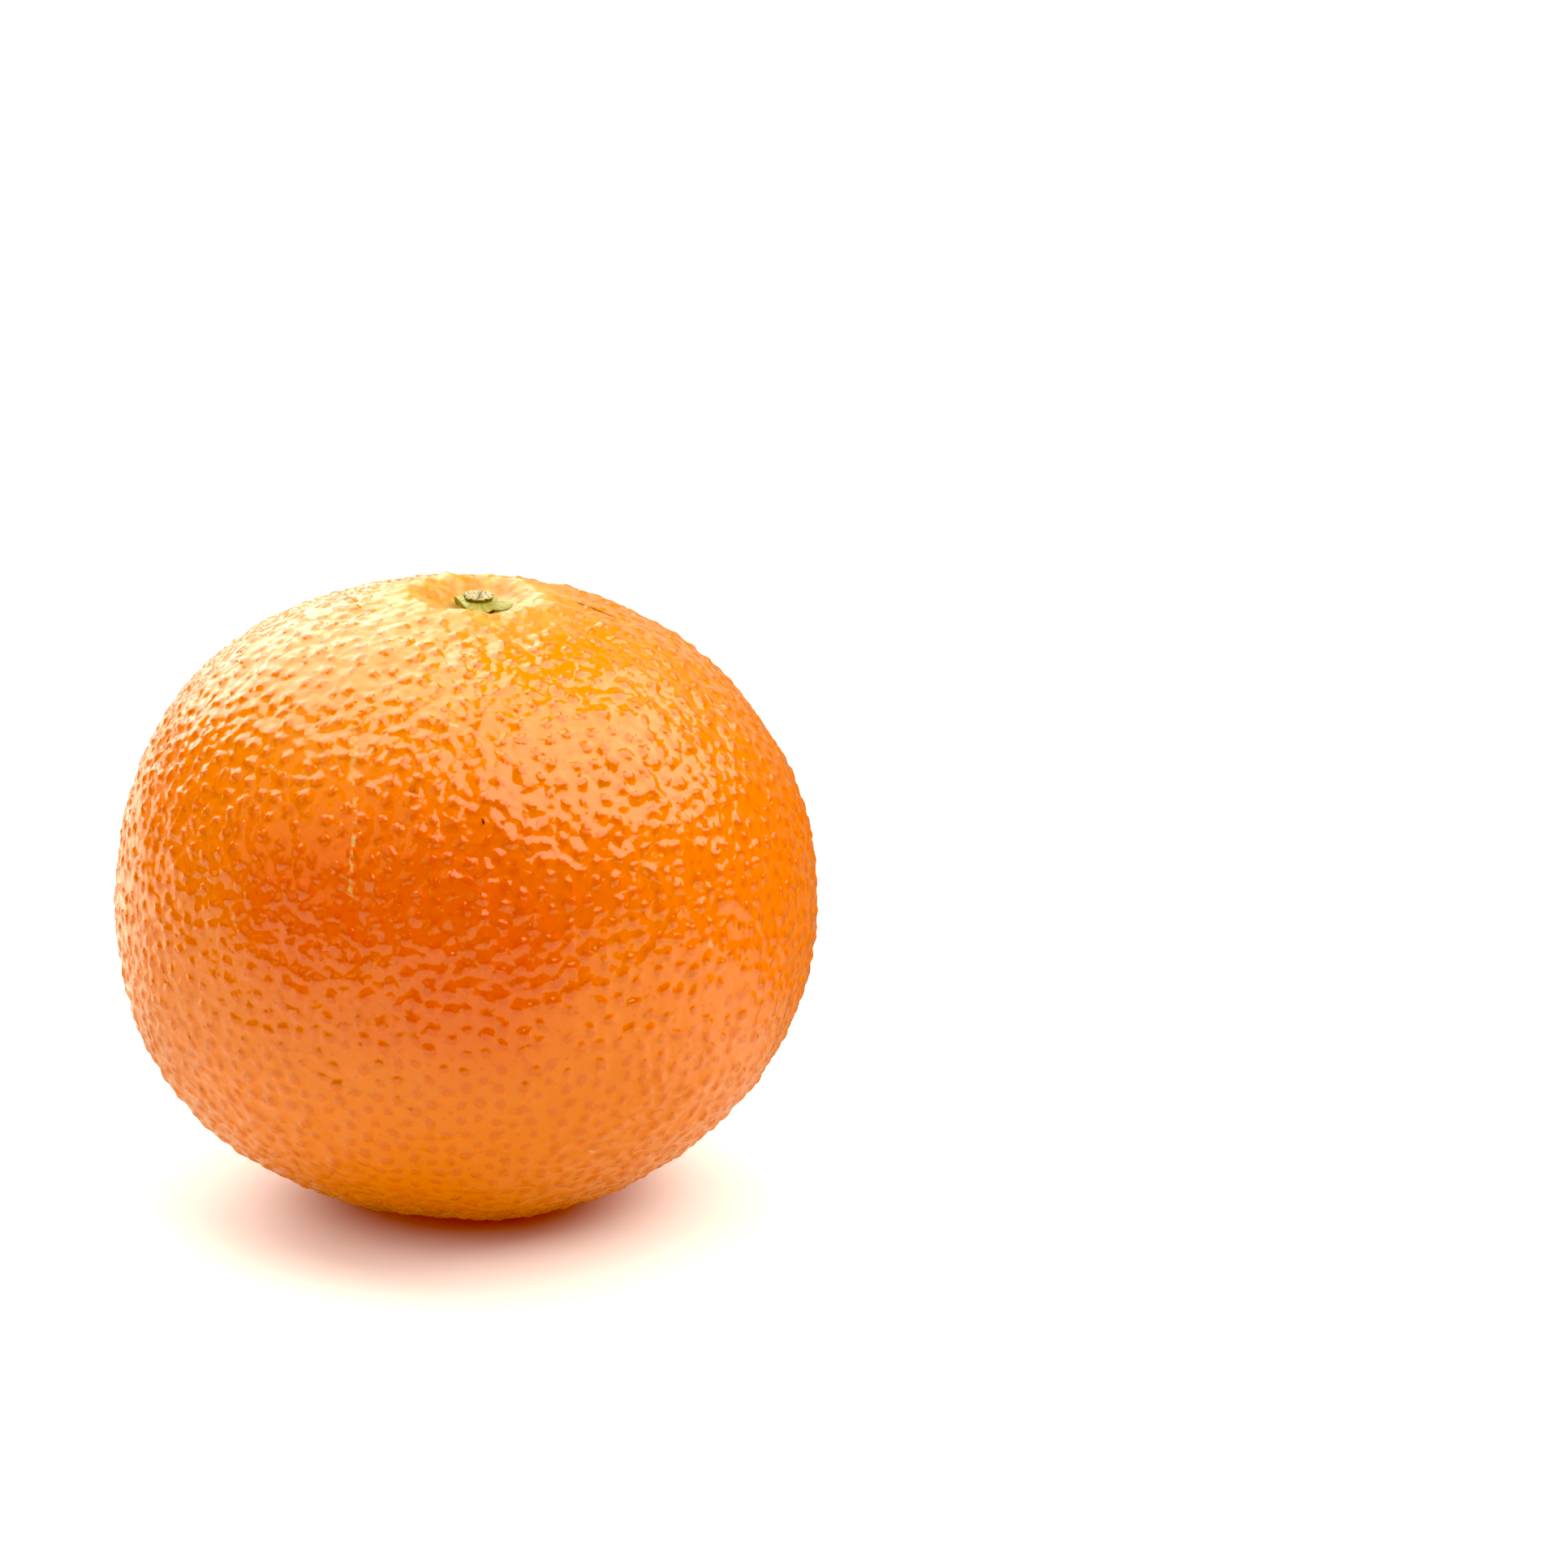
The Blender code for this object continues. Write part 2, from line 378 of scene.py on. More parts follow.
# Each kind of point with how far inside its gland it lies and how high it stands, both from 0 to 1
large_rise = large_radii / LARGE_RADIUS[1]
small_rise = small_radii / LARGE_RADIUS[1]
groups = [
    (site_places[is_fill], 0.0, 0.0),
    (large_places, 1.0, large_rise),
    (
        ring_round(large_places, large_radii, INNER_RING_POINTS, INNER_RING_SHARE),
        INNER_RING_INSIDE,
        np.repeat(large_rise, INNER_RING_POINTS) * INNER_RING_RISE,
    ),
    (
        ring_round(large_places, large_radii, FLANK_RING_POINTS, FLANK_RING_SHARE),
        FLANK_RING_INSIDE,
        np.repeat(large_rise, FLANK_RING_POINTS) * FLANK_RING_RISE,
    ),
    (
        ring_round(large_places, large_radii, RIM_POINTS),
        0.0,
        np.repeat(large_rise, RIM_POINTS) * RIM_RISE,
    ),
    (small_places, 1.0, small_rise),
    (ring_round(small_places, small_radii, SMALL_RIM_POINTS), 0.0, 0.0),
    (pole_ring, 0.0, 0.0),
]
points = np.concatenate([group[0] for group in groups])
gland = np.concatenate([np.broadcast_to(group[1], len(group[0])) for group in groups])
rise = np.concatenate([np.broadcast_to(group[2], len(group[0])) for group in groups])

# Seen from the pole, the points' directions spread out on a plane and are joined there in threes
directions = points - middle
directions /= np.linalg.norm(directions, axis=1, keepdims=True)
from_pole = 1 - directions @ pole
flat_places = zip(directions @ pole_side / from_pole, directions @ pole_front / from_pole)
laid = delaunay_2d_cdt([Vector(pair) for pair in flat_places], [], [], 0, FLAT_WELD, True)
source = [origins[0] for origins in laid[3]]
directions, gland, rise = directions[source], gland[source], rise[source]
skin_points = [form_tree.ray_cast(form_middle, Vector(way))[0] for way in directions]
ring_start = len(points) - POLE_RING_POINTS
ring_ids = [index for index, origin in enumerate(source) if origin >= ring_start]
ring_ids.sort(key=lambda index: source[index])
apex = len(skin_points)
skin_points.append(form_tree.ray_cast(form_middle, Vector(pole))[0])
gland, rise = np.append(gland, 0), np.append(rise, 0)
skin_faces = [tuple(face) for face in laid[2]]
first = [skin_points[index] for index in skin_faces[0]]
outward = (first[1] - first[0]).cross(first[2] - first[0]).dot(first[0] - form_middle)
if outward < 0:
    skin_faces = [face[::-1] for face in skin_faces]
for here, there in zip(ring_ids, ring_ids[1:] + ring_ids[:1]):
    fan = [skin_points[here], skin_points[there], skin_points[apex]]
    facing = (fan[1] - fan[0]).cross(fan[2] - fan[0]).dot(fan[0] - form_middle)
    skin_faces.append((here, there, apex) if facing > 0 else (there, here, apex))
peel_mesh = bpy.data.meshes.new("peel")
peel_mesh.from_pydata(skin_points, [], skin_faces)
for name, values in (("gland", gland), ("rise", rise)):
    peel_mesh.attributes.new(name, "FLOAT", "POINT").data.foreach_set("value", values)
peel = bpy.data.objects.new("peel", peel_mesh)
bpy.context.scene.collection.objects.link(peel)

# The deeper orange is painted shade, laid on the side that faces the camera
PEEL_PAINTED_SHADE = (0.675, 0.084, 0.0008, 1)
PEEL_LIGHT = (0.72, 0.146, 0.0012, 1)
# The foot's yellower orange is partly the peel's own tone and partly painted light from the bright
# card below
PEEL_FOOT_AND_PAINTED_LIGHT = (0.73, 0.158, 0.0020, 1)
FOOT_RANGE = (0.030, 0.008)  # heights between which the foot's colour comes in
PAINTED_SHADE_WAY = Vector((-0.12, -0.94, 0.32))  # the side towards the camera, painted a deeper orange as painted shade
PAINTED_SHADE_RANGE = (0.92, 1.14)  # how squarely the skin faces that side, where its colour comes in
PAINTED_SHADE_PATCH_SIZE = 0.014  # and how patchy its edge is
PAINTED_SHADE_PATCH_SHARE = 0.3
GLAND_TINT = (0.91, 0.75, 0.66, 1)
# Colours round the stalk, each with the distances from it between which it comes in
# The yellower orange of the upper part is partly the peel's own tone and partly painted light,
# standing in for the strong light falling on the top
PEEL_SHOULDER_AND_PAINTED_LIGHT = (0.76, 0.205, 0.0020, 1)
SHOULDER_RANGE = (0.038, 0.014)
PEEL_CROWN = (0.62, 0.210, 0.0080, 1)
CROWN_PALE = (0.63, 0.310, 0.0400, 1)
CROWN_RANGE = (0.012, 0.005)
MOTTLE_SIZE = 0.0016
PEEL_SEAT = (0.42, 0.220, 0.0300, 1)
SEAT_COLOUR_RANGE = (0.0042, 0.0030)
COLOUR_SHARE = 0.9  # how far the crown's and the seat's colours cover the peel's
PEEL_ROUGHNESS = 0.155
GLAND_ROUGHNESS = 0.19
CROWN_ROUGHNESS = 0.34
DULL_RANGE = (0.016, 0.006)
PEEL_IOR = 1.55
# Pale cork; two of the strokes below also use it for painted highlights
CORK_AND_GLINT = (0.66, 0.34, 0.11, 1)
RUB_BROWN = (0.17, 0.055, 0.008, 1)
SPECK_BLACK = (0.03, 0.012, 0.004, 1)
OLD_GREEN = (0.26, 0.20, 0.03, 1)
BEND_SIZE = 0.0009  # how a painted stroke wanders off its line
BEND_REACH = 0.0003
GAP_SIZE = 0.0006  # the gaps in a stroke, and how softly they end
GAP_EDGE = 0.12
LINE_CORE = 0.3  # share of a stroke's width that is fully painted
# Paint, directions from the middle as azimuth and rise in degrees, width and how broken it is
BLEMISHES_AND_GLINTS = (
    (CORK_AND_GLINT, ((-116.7, 44.4), (-114.8, 40.9), (-113.6, 36.5)), 0.00052, 0.40),
    (CORK_AND_GLINT, ((-113.6, 36.5), (-111.1, 30.2), (-110.4, 25.5), (-109.8, 12.0)), 0.00032, 0.47),
    (RUB_BROWN, ((6.5, 68.6), (3.0, 65.5), (0.0, 62.0)), 0.00034, 0.24),
    (SPECK_BLACK, ((-86.6, 29.9), (-86.4, 29.3)), 0.00017, 0.10),
    (CORK_AND_GLINT, ((-47.4, 4.6), (-47.0, 4.2)), 0.00032, 0.20),
    (RUB_BROWN, ((-51.3, 0.8), (-51.0, 0.5)), 0.00018, 0.20),
    (CORK_AND_GLINT, ((-66.8, -30.2), (-66.0, -30.6)), 0.00030, 0.30),
    (RUB_BROWN, ((-52.4, -34.9), (-52.0, -34.6)), 0.00020, 0.20),
    (OLD_GREEN, ((119.0, 82.5), (97.0, 83.3)), 0.00080, 0.50),
    # The next two pale strokes are painted highlights: glints of the softbox on small wrinkles,
    # drawn in cork's colour
    (CORK_AND_GLINT, ((-133.0, 35.9), (-131.0, 35.2)), 0.00022, 0.35),
    (CORK_AND_GLINT, ((-93.4, 47.5), (-91.4, 47.1)), 0.00022, 0.35),
    (CORK_AND_GLINT, ((64.0, 18.0), (66.5, 12.0), (66.0, 7.0)), 0.00030, 0.46),
    (RUB_BROWN, ((148.0, 31.0), (152.5, 29.5)), 0.00022, 0.38),
    (CORK_AND_GLINT, ((-168.0, -4.0), (-167.6, -4.4)), 0.00036, 0.20),
)
GRAIN_SIZE = 0.00026
GRAIN_HEIGHT = 0.000012
COBBLE_SIZE = 0.00105  # low bumps that crowd the skin between the large glands
COBBLE_HEIGHT = 0.00013
COBBLE_SOFTNESS = 0.35


def new_material(name):
    material = bpy.data.materials.new(name)
    material.use_nodes = True
    tree = material.node_tree
    tree.nodes.clear()
    shader = add_node(tree, "ShaderNodeBsdfPrincipled")
    add_node(tree, "ShaderNodeOutputMaterial", {"Surface": shader.outputs[0]})
    return material, tree, shader


def mix_colour(tree, share, first, second, mode="MIX"):
    inputs = {0: share, 6: first, 7: second}
    return add_node(tree, "ShaderNodeMix", inputs, data_type="RGBA", blend_type=mode).outputs[2]


def new_effect(name, sizes, output):
    """A shader node group, for any material, that makes one value of a place and named sizes."""
    tree = bpy.data.node_groups.new(name, "ShaderNodeTree")
    tree.interface.new_socket("Place", in_out="INPUT", socket_type="NodeSocketVector")
    for label in sizes:
        tree.interface.new_socket(label, in_out="INPUT", socket_type="NodeSocketFloat")
    tree.interface.new_socket(output, in_out="OUTPUT", socket_type="NodeSocketFloat")
    return tree, add_node(tree, "NodeGroupInput"), add_node(tree, "NodeGroupOutput")


def place_effect(tree, effect, values):
    node = add_node(tree, "ShaderNodeGroup", node_tree=effect)
    for target, value in zip(node.inputs, values):
        feed(tree, target, value)
    return node.outputs[0]


grain_effect, given, result = new_effect("grain", ("Size", "Detail"), "Height")
inputs = {
    "Vector": given.outputs["Place"],
    "Scale": calculate(grain_effect, "DIVIDE", 1.0, given.outputs["Size"]),
    "Detail": given.outputs["Detail"],
}
pattern = add_node(grain_effect, "ShaderNodeTexNoise", inputs)
feed(grain_effect, result.inputs[0], pattern.outputs[0])

fleck_effect, given, result = new_effect("flecks", ("Size", "Detail", "Low", "High"), "Mask")
pattern = place_effect(
    fleck_effect, grain_effect, [given.outputs[name] for name in ("Place", "Size", "Detail")]
)
pattern = blend_range(fleck_effect, pattern, given.outputs["Low"], given.outputs["High"])
feed(fleck_effect, result.inputs[0], pattern)


def grain(tree, place, size, detail=2.0):
    """Smooth noise of the given size, from about 0.3 to 0.7."""
    return place_effect(tree, grain_effect, (place, size, detail))


def flecks(tree, place, size, low, high, detail=2.0):
    """A mask of irregular spots of the given size, the fewer the higher the two limits are."""
    return place_effect(tree, fleck_effect, (place, size, detail, low, high))


def vertex_value(tree, name):
    return add_node(tree, "ShaderNodeAttribute", attribute_name=name).outputs["Fac"]


def bumps(tree, height, distance, under=None, invert=False):
    """The shading of bumps of the given height, in metres, over the ones under them."""
    inputs = {"Distance": distance, "Height": height, "Normal": under}
    return add_node(tree, "ShaderNodeBump", inputs, invert=invert).outputs[0]


peel_skin, tree, shader = new_material("clementine_peel")
place = add_node(tree, "ShaderNodeTexCoord").outputs["Object"]
stem_distance = on_vectors(tree, "DISTANCE", place, stem_foot)
outward = on_vectors(tree, "SUBTRACT", place, form_middle)
outward = on_vectors(tree, "NORMALIZE", outward)
# Painted shade: the skin facing the camera gets the deeper orange, standing in for the shade there
facing = on_vectors(tree, "DOT_PRODUCT", outward, PAINTED_SHADE_WAY)
patches = grain(tree, place, PAINTED_SHADE_PATCH_SIZE)
facing = calculate(tree, "MULTIPLY_ADD", patches, PAINTED_SHADE_PATCH_SHARE, facing)
painted_shade = blend_range(tree, facing, *PAINTED_SHADE_RANGE)
colour = mix_colour(tree, painted_shade, PEEL_LIGHT, PEEL_PAINTED_SHADE)
height = add_node(tree, "ShaderNodeSeparateXYZ", {0: place}).outputs["Z"]
# Partly painted light: the low part of the peel is made yellower where light comes up from the card
near_foot = blend_range(tree, height, *FOOT_RANGE)
colour = mix_colour(tree, near_foot, colour, PEEL_FOOT_AND_PAINTED_LIGHT)
# Partly painted light: the upper part is made yellower where the strongest light falls
shoulder_and_painted_light = blend_range(tree, stem_distance, *SHOULDER_RANGE)
colour = mix_colour(tree, shoulder_and_painted_light, colour, PEEL_SHOULDER_AND_PAINTED_LIGHT)
in_gland = blend_range(tree, vertex_value(tree, "gland"), 0.0, 0.85)
colour = mix_colour(tree, in_gland, colour, GLAND_TINT, "MULTIPLY")
crown = blend_range(tree, stem_distance, *CROWN_RANGE, 0.0, COLOUR_SHARE)
mottle = flecks(tree, place, MOTTLE_SIZE, 0.42, 0.62, 3.0)
colour = mix_colour(tree, crown, colour, mix_colour(tree, mottle, PEEL_CROWN, CROWN_PALE))
seat = blend_range(tree, stem_distance, *SEAT_COLOUR_RANGE, 0.0, COLOUR_SHARE)
colour = mix_colour(tree, seat, colour, PEEL_SEAT)


def direction_at(azimuth, rise):
    """The direction at these angles in degrees, round from +X and up from the level."""
    azimuth, rise = math.radians(azimuth), math.radians(rise)
    level = math.cos(rise)
    return Vector((level * math.cos(azimuth), level * math.sin(azimuth), math.sin(rise)))


def near_line(tree, place, start, end, width):
    """One on the line between two places, falling to nothing at the width from it."""
    span = end - start
    way = on_vectors(tree, "SUBTRACT", place, start)
    along = on_vectors(tree, "DOT_PRODUCT", way, span / span.length_squared)
    along = blend_range(tree, along, 0.0, 1.0, smooth=False)
    off = on_vectors(tree, "DISTANCE", way, scaled(tree, span, along))
    return blend_range(tree, off, width, LINE_CORE * width)


def paint_stroke(tree, place, colour, paint, angles, width, broken):
    """Paints a line through the given directions, broken up by noise, over the colour."""
    corners = [form_tree.ray_cast(form_middle, direction_at(*pair))[0] for pair in angles]
    marks = [near_line(tree, place, start, end, width) for start, end in zip(corners, corners[1:])]
    mark = marks[0]
    for other in marks[1:]:
        mark = calculate(tree, "MAXIMUM", mark, other)
    gaps = flecks(tree, place, GAP_SIZE, broken, broken + GAP_EDGE, 3.0)
    return mix_colour(tree, calculate(tree, "MULTIPLY", mark, gaps), colour, paint)


bend = add_node(tree, "ShaderNodeTexNoise", {"Vector": place, "Scale": 1 / BEND_SIZE})
bent_place = on_vectors(tree, "MULTIPLY_ADD", bend.outputs["Color"], [BEND_REACH] * 3, place)
for paint, angles, width, broken in BLEMISHES_AND_GLINTS:
    colour = paint_stroke(tree, bent_place, colour, paint, angles, width, broken)
feed(tree, shader.inputs["Base Color"], colour)
sheen = blend_range(tree, vertex_value(tree, "gland"), 0.1, 0.9, PEEL_ROUGHNESS, GLAND_ROUGHNESS)
dull = blend_range(tree, stem_distance, *DULL_RANGE, 0.0, CROWN_ROUGHNESS)
feed(tree, shader.inputs["Roughness"], calculate(tree, "MAXIMUM", sheen, dull))
shader.inputs["IOR"].default_value = PEEL_IOR
inputs = {"Vector": place, "Scale": 1 / COBBLE_SIZE, "Smoothness": COBBLE_SOFTNESS}
cobbles = add_node(tree, "ShaderNodeTexVoronoi", inputs, feature="SMOOTH_F1")
crowd = bumps(tree, cobbles.outputs["Distance"], COBBLE_HEIGHT, invert=True)
fine = bumps(tree, grain(tree, place, GRAIN_SIZE), GRAIN_HEIGHT, under=crowd)
feed(tree, shader.inputs["Normal"], fine)

# The skin's relief, outwards from the form: slow swells, ripples, pillows, the glands' domes, folds
# round the stalk, the skin that swells under the calyx, and the scar at the blossom end
SWELL_SIZE = 0.013
SWELL_HEIGHT = 0.00022
RIPPLE_SIZE = 0.0050
RIPPLE_HEIGHT = 0.00020
DOME_HEIGHT = 0.00017
PILLOW_SIZE = 0.0026
PILLOW_HEIGHT = 0.00028
PILLOW_OCTAVES = 2.0
FOLD_TURN = 0.22  # spacing of the folds round the stalk, in radians
FOLD_HEIGHT = 0.00026
SEAT_LIFT = 0.00036  # the skin swells up under the calyx's edge
PUFF_LIFT = 0.00008  # and a little more round it
# Distances from the stalk between which each comes in: the folds, the relief but for the domes,
# the swelling under the calyx's edge, the one round it, and the two together, from farther out
FOLD_RANGE = (0.018, 0.008)
RELIEF_RANGE = (0.0026, 0.0048)
SEAT_RANGE = (0.0017, 0.0033)
PUFF_RANGE = (0.0031, 0.0042)
SWOLLEN_RANGE = (0.0100, 0.0048)
BLOSSOM_END_WAY = Vector((0.06, -0.04, -1))  # from the middle
STYLAR_SCAR_RADIUS = 0.0011
STYLAR_SCAR_DEPTH = 0.00035

relief_values = {
    "Swell Size": SWELL_SIZE,
    "Swell Height": SWELL_HEIGHT,
    "Ripple Size": RIPPLE_SIZE,
    "Ripple Height": RIPPLE_HEIGHT,
    "Pillow Size": PILLOW_SIZE,
    "Pillow Height": PILLOW_HEIGHT,
    "Dome Height": DOME_HEIGHT,
    "Fold Turn": FOLD_TURN,
    "Fold Height": FOLD_HEIGHT,
    "Seat Lift": SEAT_LIFT,
    "Puff Lift": PUFF_LIFT,
    "Stem": stem_foot,
    "Scar": form_tree.ray_cast(form_middle, BLOSSOM_END_WAY)[0],
    "Scar Radius": STYLAR_SCAR_RADIUS,
    "Scar Depth": STYLAR_SCAR_DEPTH,
    "Skin": peel_skin,
}
relief_tree, given, result = new_geometry_tree("peel_relief", relief_values)


def waves(tree, place, size, height, detail=1.0):
    """Smooth noise of the given size, from minus to plus half the given height."""
    inputs = {"Vector": place, "Scale": calculate(tree, "DIVIDE", 1.0, size), "Detail": detail}
    pattern = add_node(tree, "ShaderNodeTexNoise", inputs, noise_dimensions="3D")
    centred = calculate(tree, "SUBTRACT", pattern.outputs[0], 0.5)
    return calculate(tree, "MULTIPLY", centred, calculate(tree, "MULTIPLY", height, 2.0))


place = add_node(relief_tree, "GeometryNodeInputPosition").outputs[0]
lift = waves(relief_tree, place, given.outputs["Swell Size"], given.outputs["Swell Height"])
ripple = waves(relief_tree, place, given.outputs["Ripple Size"], given.outputs["Ripple Height"])
pillow = waves(
    relief_tree, place, given.outputs["Pillow Size"], given.outputs["Pillow Height"], PILLOW_OCTAVES
)
dome = attribute(relief_tree, "rise")
dome = calculate(relief_tree, "MULTIPLY", dome, given.outputs["Dome Height"])
lift = calculate(relief_tree, "ADD", calculate(relief_tree, "ADD", lift, ripple), pillow)
stem_distance = on_vectors(relief_tree, "DISTANCE", place, given.outputs["Stem"])
way = on_vectors(relief_tree, "SUBTRACT", place, given.outputs["Stem"])
way = on_vectors(relief_tree, "NORMALIZE", way)
fold = waves(relief_tree, way, given.outputs["Fold Turn"], given.outputs["Fold Height"])
fold_share = blend_range(relief_tree, stem_distance, *FOLD_RANGE)
fold = calculate(relief_tree, "MULTIPLY", fold, fold_share)
lift = calculate(relief_tree, "ADD", lift, fold)
relief_share = blend_range(relief_tree, stem_distance, *RELIEF_RANGE)
lift = calculate(relief_tree, "MULTIPLY", lift, relief_share)
lift = calculate(relief_tree, "ADD", lift, dome)
seat = blend_range(relief_tree, stem_distance, *SEAT_RANGE, 0.0, given.outputs["Seat Lift"])
puff = blend_range(relief_tree, stem_distance, *PUFF_RANGE, 0.0, given.outputs["Puff Lift"])
swollen = calculate(relief_tree, "ADD", seat, puff)
swollen_share = blend_range(relief_tree, stem_distance, *SWOLLEN_RANGE)
swollen = calculate(relief_tree, "MULTIPLY", swollen, swollen_share)
lift = calculate(relief_tree, "ADD", lift, swollen)
scar_distance = on_vectors(relief_tree, "DISTANCE", place, given.outputs["Scar"])
scar = blend_range(
    relief_tree, scar_distance, given.outputs["Scar Radius"], 0.0, 0.0, given.outputs["Scar Depth"]
)
lift = calculate(relief_tree, "SUBTRACT", lift, scar)
normal = add_node(relief_tree, "GeometryNodeInputNormal").outputs[0]
moved = on_vectors(relief_tree, "ADD", place, scaled(relief_tree, normal, lift))
above_floor = on_vectors(relief_tree, "MAXIMUM", moved, (-1.0, -1.0, 0.0))
made = given.outputs["Geometry"]
for kind, inputs in (
    ("GeometryNodeSetPosition", {"Position": above_floor}),
    ("GeometryNodeSetShadeSmooth", {}),
    ("GeometryNodeRealizeInstances", {}),
    ("GeometryNodeSetMaterial", {"Material": given.outputs["Skin"]}),
):
    made = add_node(relief_tree, kind, {"Geometry": made, **inputs}).outputs[0]
feed(relief_tree, result.inputs[0], made)

peel.data = apply_tree(peel, relief_tree, relief_values)
bpy.data.objects.remove(form)
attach(peel, "root")
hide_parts("fruit")


# ---------------------------------------------------------------- the calyx
# The calyx is a dried, five-lobed green collar round the stalk's foot. It sits in the sunken
# crown, thin at the edge; one lobe has curled up against the stub and the tips have browned.

LOBE_TURNS = (-10, 62, 134, 206, 278)  # degrees round the stalk, counterclockwise from +X
LOBE_CURLS = (0.00016, 0.00016, 0.00024, 0.00092, 0.00002)  # how far each one's tip curls up
LOBE_TWISTS = (0.00046, 0.0, 0.0, 0.0001, 0.0)  # how far one side leans up and the other down
LOBE_PALENESS = (0.25, 0.3, 0.5, 1.0, 0.0)
CALYX_SPOKES = 216
CALYX_TOP_ROWS = 20
CALYX_UNDER_ROWS = 9
COLLAR_HEIGHT = 0.00030
COLLAR_WIDTH = 0.00030
PLATE_HEIGHT = 0.00046
PLATE_FALL = 0.00012
EDGE_THICKNESS = 0.00011
FOOT_THICKNESS = 0.00078
STRIATION_HEIGHT = 0.00004
RIB_HEIGHT = 0.00007
RIB_WIDTH = 7  # degrees
STUB_GAP = 0.00002  # between the collar and the stub
OUTLINE_FROM = 0.0017  # the frame's points farther than this from the stalk are the outline
OUTLINE_RAG = 0.03  # how ragged it is, as a share of the radius
CALYX_OLIVE = (0.230, 0.205, 0.030, 1)
CALYX_LIME = (0.360, 0.310, 0.040, 1)
CALYX_MINT = (0.420, 0.450, 0.200, 1)
CALYX_BROWN = (0.075, 0.028, 0.006, 1)
CALYX_ROUGHNESS = 0.62
CALYX_GRAIN_SIZE = 0.00012
CALYX_GRAIN_HEIGHT = 0.00002
PATCH_SIZE = 0.00030
EDGE_BROWN = 0.25  # how far the edge, the patches and the underside have browned
PATCH_BROWN = 0.25
UNDER_BROWN = 0.15


def in_stem_frame(node):
    """The node's vertices, in metres, with the stalk's foot at the origin and its axis upwards."""
    inverse = np.array(stem_frame.inverted())
    vertices = np.array([v.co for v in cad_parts[node].data.vertices])
    return vertices @ inverse[:3, :3].T + inverse[:3, 3]


def smooth_step(value):
    value = np.clip(value, 0, 1)
    return value * value * (3 - 2 * value)


def noise_at(x, y, z):
    """Smooth noise between about -1 and 1 at each of the places."""
    x, y, z = np.broadcast_arrays(x, y, z)
    values = [noise.noise(Vector(place)) for place in zip(x.flat, y.flat, z.flat)]
    return np.array(values).reshape(x.shape)


def turned_mesh(name, radii, heights, marks, ring):
    """A closed skin of rows round the stalk: a ring joins its last row to its first, else the
    first and last rows close on points of their own. Marks are values for each of the places."""
    rows, spokes = radii.shape
    turn = np.arange(spokes) * 2 * math.pi / spokes
    places = np.stack([radii * np.cos(turn), radii * np.sin(turn), heights], axis=-1).reshape(-1, 3)
    faces = []
    for row in range(rows if ring else rows - 1):
        here, there = row * spokes, (row + 1) % rows * spokes
        for spoke in range(spokes):
            after = (spoke + 1) % spokes
            faces.append((here + spoke, here + after, there + after, there + spoke))
    marks = {mark: values.reshape(-1) for mark, values in marks.items()}
    if not ring:
        for row, flip in ((0, True), (rows - 1, False)):
            centre = len(places)
            edge = places[row * spokes : (row + 1) * spokes]
            places = np.append(places, [edge.mean(axis=0)], axis=0)
            for mark, values in marks.items():
                marks[mark] = np.append(values, values[row * spokes : (row + 1) * spokes].mean())
            for spoke in range(spokes):
                face = (row * spokes + spoke, row * spokes + (spoke + 1) % spokes, centre)
                faces.append(face[::-1] if flip else face)
    made = bpy.data.meshes.new(name)
    made.from_pydata([stem_frame @ Vector(place) for place in places], [], faces)
    for mark, values in marks.items():
        made.attributes.new(mark, "FLOAT", "POINT").data.foreach_set("value", values)
    made.shade_smooth()
    tidy = bmesh.new()
    tidy.from_mesh(made)
    bmesh.ops.recalc_face_normals(tidy, faces=tidy.faces)
    tidy.to_mesh(made)
    tidy.free()
    piece = bpy.data.objects.new(name, made)
    bpy.context.scene.collection.objects.link(piece)
    return piece


node_places = in_stem_frame("calyx")
node_radii = np.hypot(node_places[:, 0], node_places[:, 1])
outline = node_radii > OUTLINE_FROM
outline_turns = np.arctan2(node_places[outline, 1], node_places[outline, 0])
order = np.argsort(outline_turns)
turns = np.arange(CALYX_SPOKES) * 2 * math.pi / CALYX_SPOKES
reach = np.interp(turns, outline_turns[order], node_radii[outline][order], period=2 * math.pi)
reach = reach * (1 + OUTLINE_RAG * noise_at(4 * np.cos(turns), 4 * np.sin(turns), 3.0))

off_lobe = (np.degrees(turns)[None, :] - np.array(LOBE_TURNS)[:, None] + 180) % 360 - 180
nearness = np.cos(np.radians(np.clip(off_lobe * 2.5, -90, 90))) ** 2
curl = (nearness * np.array(LOBE_CURLS)[:, None]).sum(axis=0)
lean = nearness**0.5 * off_lobe / 36
curl = curl + (lean * np.array(LOBE_TWISTS)[:, None]).sum(axis=0)
paleness = (nearness**0.6 * np.array(LOBE_PALENESS)[:, None]).sum(axis=0)
rib = np.exp(-((np.abs(off_lobe).min(axis=0) / RIB_WIDTH) ** 2))
streak = noise_at(9 * np.cos(turns), 9 * np.sin(turns), 0.0)
streak = 0.6 * streak + 0.6 * noise_at(21 * np.cos(turns), 21 * np.sin(turns), 5.0)

inner = stub_radius + STUB_GAP
top_share = np.linspace(0, 1, CALYX_TOP_ROWS)[:, None]
under_share = np.linspace(0.985, 0, CALYX_UNDER_ROWS)[:, None]


